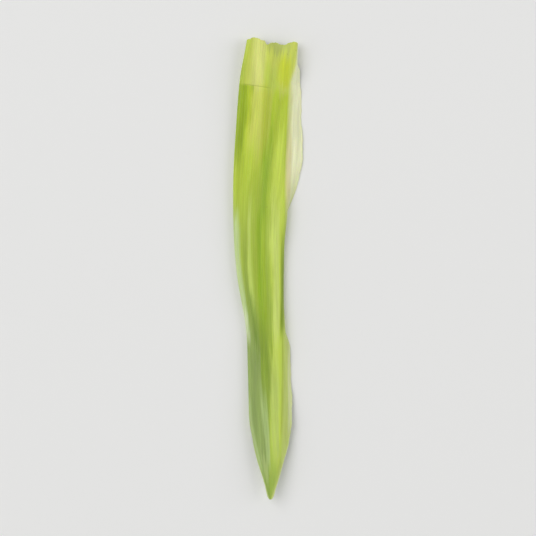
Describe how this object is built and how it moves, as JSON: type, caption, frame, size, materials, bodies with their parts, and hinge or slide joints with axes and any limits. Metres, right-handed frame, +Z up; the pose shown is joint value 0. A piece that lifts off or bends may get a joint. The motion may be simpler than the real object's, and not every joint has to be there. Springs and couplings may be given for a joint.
{
  "type": "pandan leaf",
  "caption": "Cut pandan leaf lying flat: a pleated strap blade with a midrib keel, a square-cut end, a pointed tip and side strips folded under.",
  "frame": {"origin": "bottom centre of the leaf's bounding box, on the surface it lies on", "axes": "+Y along the leaf towards the cut end, +Z up out of the surface, +X to the right of the leaf seen from above"},
  "size_m": [0.0222, 0.146, 0.0053],
  "materials": {
    "leaf": "waxy yellow-green leaf skin with fine lengthwise veins, paler on the underside"
  },
  "bodies": {
    "root": {"pandan_leaf": "leaf"}
  },
  "joints": []
}
